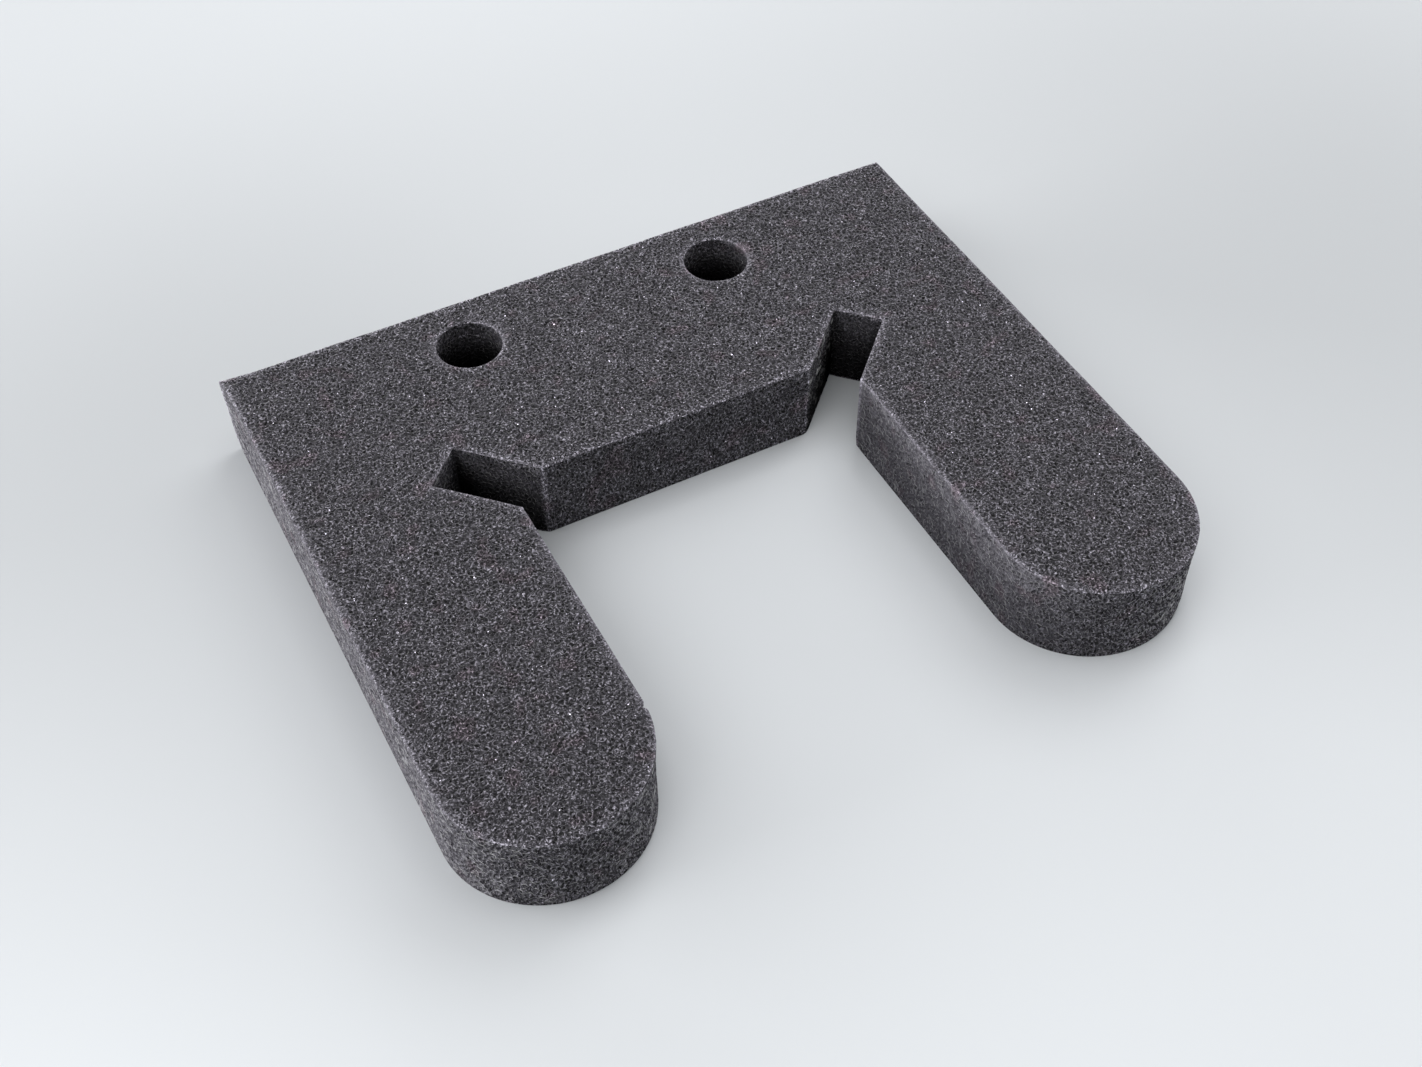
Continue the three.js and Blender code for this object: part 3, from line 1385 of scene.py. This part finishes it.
@dataclass
class FoamPad:
    """The pad: one sheet of open-cell foam, cut right through."""

    node: str = "foam_pad"
    cells: CellSizes = field(default_factory=CellSizes)
    cut: CutSizes = field(default_factory=CutSizes)

    INSIDE_ONLY: ClassVar[int] = 1

    def __post_init__(self) -> None:
        """Reads the pad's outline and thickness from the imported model."""
        low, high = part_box(self.node)
        outline = CutOutline(self.node)
        self.corner = (low.x, high.y)
        self.nick = outline.left_leg_edge(low.y + self.cut.nick_setback)
        self.thickness = high.z - low.z
        self.pattern = SkinPattern(outline, self.cells, self.cut, self.thickness)
        self.material = FoamFinish().material()

    @staticmethod
    def _sides(rings: list[np.ndarray], first: int) -> list[tuple[int, int]]:
        """Pairs up the points that rings join.

        Args:
            rings: the rings, in order.
            first: the number of the first ring's first point.

        Returns:
            The numbers of each side's two ends.
        """
        sides = []
        for ring in rings:
            count = len(ring)
            sides += [(first + i, first + (i + 1) % count) for i in range(count)]
            first += count
        return sides

    def _centres(self) -> list[np.ndarray]:
        """Scatters the cells' centres over each patch. On a wall the cells stand upright.

        Returns:
            Each patch's centres, clear of its rings.
        """
        group = scatter_tree(self.material)
        cells = self.cells
        result = []
        for index, patch in enumerate(self.pattern.patches):
            spacing, crowding, clearance = cells.spacing, cells.crowding, cells.rim_clearance
            if patch.face is Face.UNDERSIDE:
                spacing, crowding = cells.underside_spacing, cells.underside_crowding
                clearance = cells.underside_clearance
            rise = cells.rise if patch.face is Face.WALL else 1.0
            squash = np.array([math.sqrt(rise), 1 / math.sqrt(rise)])
            rings = patch.laid()
            low, high = rings[0].min(axis=0), rings[0].max(axis=0)
            sheet = flat_sheet("sheet", squash * low, squash * high)
            seed = cells.seed + index
            found = run_nodes(sheet, group, Spacing=spacing, Crowding=crowding, Seed=seed)
            flat = vertex_places(found)[:, :2] / squash
            flat = flat[inside_rings(flat, rings)]
            result.append(flat[distance_to_rings(flat, rings) > clearance])
        return result

    def _flat_mesh(self) -> bpy.types.Mesh:
        """Draws the whole pattern.

        Returns:
            The pattern, triangulated, with a vertex for each cell.
        """
        patches = self.pattern.patches
        points, sides, first = [], [], 0
        for patch, centres in zip(patches, self._centres()):
            rings = patch.laid()
            sides += self._sides(rings, first)
            points += [*rings, centres]
            first += sum(map(len, rings)) + len(centres)
        together = [Vector(point) for point in np.concatenate(points)]
        corners, _, faces, *_ = delaunay_2d_cdt(together, sides, [], self.INSIDE_ONLY, HAIR)
        flat = np.array([(point.x, point.y) for point in corners])
        number = self.pattern.patch_at(flat)
        faces = np.array(faces)
        middle = flat[faces].mean(axis=1)
        kept = np.ones(len(faces), bool)
        for index, patch in enumerate(patches):
            if len(patch.rings) > 1:
                mine = number[faces[:, 0]] == index
                kept[mine] = inside_rings(middle[mine], patch.laid())
        mesh = bpy.data.meshes.new("flat_skin")
        mesh.from_pydata([(x, y, 0.0) for x, y in flat], [], faces[kept].tolist())
        under = np.array([patch.face is Face.UNDERSIDE for patch in patches])
        keep_numbers(mesh, "sealed", under[number])
        return mesh

    def skin(self) -> bpy.types.Mesh:
        """Makes the pad's skin.

        Returns:
            The skin, pierced, folded and welded shut.
        """
        width, height = self.pattern.extent
        cells = self.cells
        mesh = run_nodes(
            self._flat_mesh(),
            CellNodes(self.material).tree,
            Depth=cells.depth,
            Least_Depth=cells.least_depth,
            Wander=cells.wander,
            Rim_Share=cells.rim_share,
            Skinned_Share=cells.skinned_share,
            Strut_Sink=cells.strut_sink,
            Width=float(width),
            Height=float(height),
            Seed=cells.seed,
        )
        places = vertex_places(mesh)
        flat, sunk = places[:, :2], -places[:, 2]
        solid = self.pattern.fold(flat, sunk)
        mesh.vertices.foreach_set("co", solid.astype(np.float32).ravel())
        # brim and arris place the painted highlights along the rims and arrises.
        keep_numbers(mesh, "brim", self.pattern.brim_at(flat))
        keep_numbers(mesh, "arris", self.pattern.arris_at(flat))
        # Where light is painted on the faces that face along X.
        keep_numbers(mesh, "drag", self.pattern.drag_at(flat))
        # gloom carries the painted shade in the slots and holes.
        keep_numbers(mesh, "gloom", self.pattern.gloom_at(flat))
        self._close(mesh)
        return mesh

    def _close(self, mesh: bpy.types.Mesh) -> None:
        """Welds the patches along their rims, and gives the pad its soft, used shape.

        Args:
            mesh: the folded skin.
        """
        edit = bmesh.new()
        edit.from_mesh(mesh)
        rim = [vertex for vertex in edit.verts if vertex.is_boundary]
        bmesh.ops.remove_doubles(edit, verts=rim, dist=self.cut.weld)
        self._wear_and_painted_light([vertex for vertex in rim if vertex.is_valid])
        self._settle(edit.verts)
        noise.seed_set(self.cells.seed)
        for vertex in edit.verts:
            wave = noise.noise_vector(vertex.co / self.cut.wave_length)
            lift = min(vertex.co.z / self.thickness, 1.0)
            vertex.co += wave * self.cut.wave * max(lift, 0.0)
            vertex.co += self._ear(vertex.co)
            vertex.co.x -= self._nick(vertex.co)
        count = len(edit.calc_loop_triangles())
        open_edges = sum(not edge.is_manifold for edge in edit.edges)
        volume = edit.calc_volume() / MM**3
        edit.to_mesh(mesh)
        edit.free()
        LOG.info("foam_pad_skin: %d triangles, %d open edges, %.0f mm3", count, open_edges, volume)

    def _wear_and_painted_light(self, rim: list[bmesh.types.BMVert]) -> None:
        """Lowers the top rims a little, unevenly.

        Args:
            rim: the vertices that the patches share.
        """
        rng = np.random.default_rng(self.cells.seed)
        lower = self.cut.lip + rng.random(len(rim)) ** 2 * self.cut.lip_jitter
        for vertex, drop in zip(rim, lower):
            if vertex.co.z > self.thickness - self.cut.weld:
                vertex.co.z -= drop

    def _settle(self, vertices: bmesh.types.BMVertSeq) -> None:
        """Lets the cut edges swell, rounds their rims and draws their feet in.

        The two sides, which face along X, keep more of their width at the foot.

        Args:
            vertices: all of the pad's.
        """
        cut = self.cut
        everything = list(vertices)
        places = np.array([vertex.co for vertex in everything])
        gap = distance_to_rings(places[:, :2], self.pattern.outline.loops())
        near = np.flatnonzero(gap < cut.swell_depth)
        outward = self.pattern.facing_at(places[near, :2], cut.swell_depth)
        height = places[near, 2]
        close = 1.0 - gap[near] / cut.swell_depth
        low = np.clip(1.0 - height / cut.tuck_height, 0, 1)
        high = np.clip(1.0 - (self.thickness - height) / cut.swell_depth, 0, 1)
        tuck = cut.tuck * (1.0 - cut.side_hold * outward[:, 0] ** 2)
        shift = close * (cut.swell - cut.rounding * high**2) - tuck * low**2
        drop = cut.rounding * close**2 * high
        for index, (x, y), down in zip(near, outward * shift[:, None], drop):
            everything[index].co += Vector((x, y, -down))

    def _ear(self, place: Vector) -> Vector:
        """Flares the soft corner at the back left.

        Args:
            place: a place on the pad.

        Returns:
            How far it stands out there.
        """
        cut = self.cut
        gap = math.hypot(place.x - self.corner[0], place.y - self.corner[1])
        near = max(0.0, 1.0 - gap / cut.ear_reach)
        return Vector((-1.0, 1.0, 0.0)) * cut.ear * near**2 * max(place.z, 0.0) / self.thickness

    def _nick(self, place: Vector) -> float:
        """Nicks the left leg's inner edge.

        Args:
            place: a place on the pad.

        Returns:
            How far the nick draws it in.
        """
        cut = self.cut
        across = abs(place.x - self.nick[0]) / cut.nick_depth
        along = abs(place.y - self.nick[1]) / cut.nick_reach
        drop = (self.thickness - place.z) / cut.nick_drop
        near = max(0.0, 1.0 - along) * max(0.0, 1.0 - across) * max(0.0, 1.0 - drop)
        return near * cut.nick_depth

    def build(self) -> bpy.types.Object:
        """Returns:
            The pad's object.
        """
        skin = self.skin()
        skin.name = "foam_skin"
        skin.shade_flat()
        pad = put_in_scene("foam_pad_skin", skin)
        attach(pad, "root")
        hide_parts(self.node)
        return pad


# ---- the studio ----


def direction(azimuth: float, elevation: float) -> Vector:
    """Turns two angles into a direction.

    Args:
        azimuth: degrees from +X towards +Y.
        elevation: degrees up from the floor.

    Returns:
        The unit direction.
    """
    turn, climb = math.radians(azimuth), math.radians(elevation)
    level = math.cos(climb)
    return Vector((level * math.cos(turn), level * math.sin(turn), math.sin(climb)))


def facing_back(towards: Vector) -> Quaternion:
    """Returns the turn that makes a lamp or camera look back along a direction."""
    return (-towards).to_track_quat("-Z", "Y")


@dataclass(frozen=True)
class SoftBox:
    """An area lamp that faces the pad, at an azimuth and an elevation in degrees."""

    name: str
    azimuth: float
    elevation: float
    width: float
    height: float
    power: float
    distance: float = 1.3

    def build(self) -> None:
        """Hangs the lamp."""
        lamp = bpy.data.lights.new(self.name, "AREA")
        lamp.shape = "RECTANGLE"
        lamp.size = self.width
        lamp.size_y = self.height
        lamp.energy = self.power
        holder = put_in_scene(self.name, lamp)
        towards = direction(self.azimuth, self.elevation)
        holder.location = towards * self.distance
        holder.rotation_euler = facing_back(towards).to_euler()
        holder.visible_camera = False


@dataclass(frozen=True)
class ViewCamera:
    """The camera, placed by the direction it looks from, in degrees and metres."""

    azimuth: float = -117.190
    elevation: float = 48.304
    roll: float = -0.614
    distance: float = 0.48038
    target: Place = (-0.001436, -0.00235, 0.0)
    lens: float = 46.60
    film_width: float = 36.0
    nearest: float = 0.01
    farthest: float = 50.0

    def build(self) -> None:
        """Sets the camera up."""
        camera = bpy.data.cameras.new("camera")
        camera.sensor_fit = "HORIZONTAL"
        camera.sensor_width = self.film_width
        camera.lens = self.lens
        camera.clip_start = self.nearest
        camera.clip_end = self.farthest
        holder = put_in_scene("camera", camera)
        back = direction(self.azimuth, self.elevation)
        holder.location = Vector(self.target) + back * self.distance
        roll = Quaternion((0, 0, 1), math.radians(self.roll))
        holder.rotation_euler = (facing_back(back) @ roll).to_euler()
        bpy.context.scene.camera = holder


@dataclass(frozen=True)
class Studio:
    """The floor, the lamps and the light all round."""

    floor_half: float = 4.0
    boxes: tuple[SoftBox, ...] = (
        SoftBox("low_left", azimuth=155, elevation=6, width=1.3, height=0.22, power=29.0),
        SoftBox("low_right", azimuth=-12, elevation=8, width=0.9, height=0.3, power=7.0),
        SoftBox("overhead", azimuth=0, elevation=90, width=0.9, height=0.9, power=7.0),
        SoftBox("back_right", azimuth=35, elevation=50, width=0.8, height=0.8, power=5.2),
        SoftBox("front_left", azimuth=225, elevation=50, width=0.8, height=0.8, power=3.4),
        SoftBox("left", azimuth=180, elevation=50, width=0.8, height=0.8, power=2.8),
    )
    surround: Colour = (0.80, 0.82, 0.84)
    surround_strength: float = 0.05

    def build(self) -> None:
        """Sets the whole studio up."""
        self._floor()
        for box in self.boxes:
            box.build()
        world = bpy.data.worlds.new("surround")
        world.use_nodes = True
        world.node_tree.nodes.clear()
        tree = Tree(world.node_tree)
        strength = tree.backdrop_rays().over(self.surround_strength)
        inputs = {"Color": solid_colour(self.surround), "Strength": strength}
        background = tree.node("ShaderNodeBackground", {}, inputs)
        tree.node("ShaderNodeOutputWorld", {}, {"Surface": background})
        bpy.context.scene.world = world
        bpy.context.scene.view_settings.view_transform = "Standard"

    def _floor(self) -> None:
        """Lays the floor."""
        corner = np.full(2, self.floor_half)
        mesh = flat_sheet("floor", -corner, corner)
        mesh.materials.append(FloorFinish().material())
        floor = put_in_scene("floor", mesh)
        floor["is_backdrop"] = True


def main() -> None:
    """Builds the studio and the pad."""
    logging.basicConfig(level=logging.INFO)
    Studio().build()
    ViewCamera().build()
    pad = FoamPad().build()
    LOG.info("%s stands for the foam_pad solid", pad.name)
    boxes = [[list(corner) for corner in box] for box in (CAD_BOX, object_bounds())]


if __name__ == "__main__":
    main()
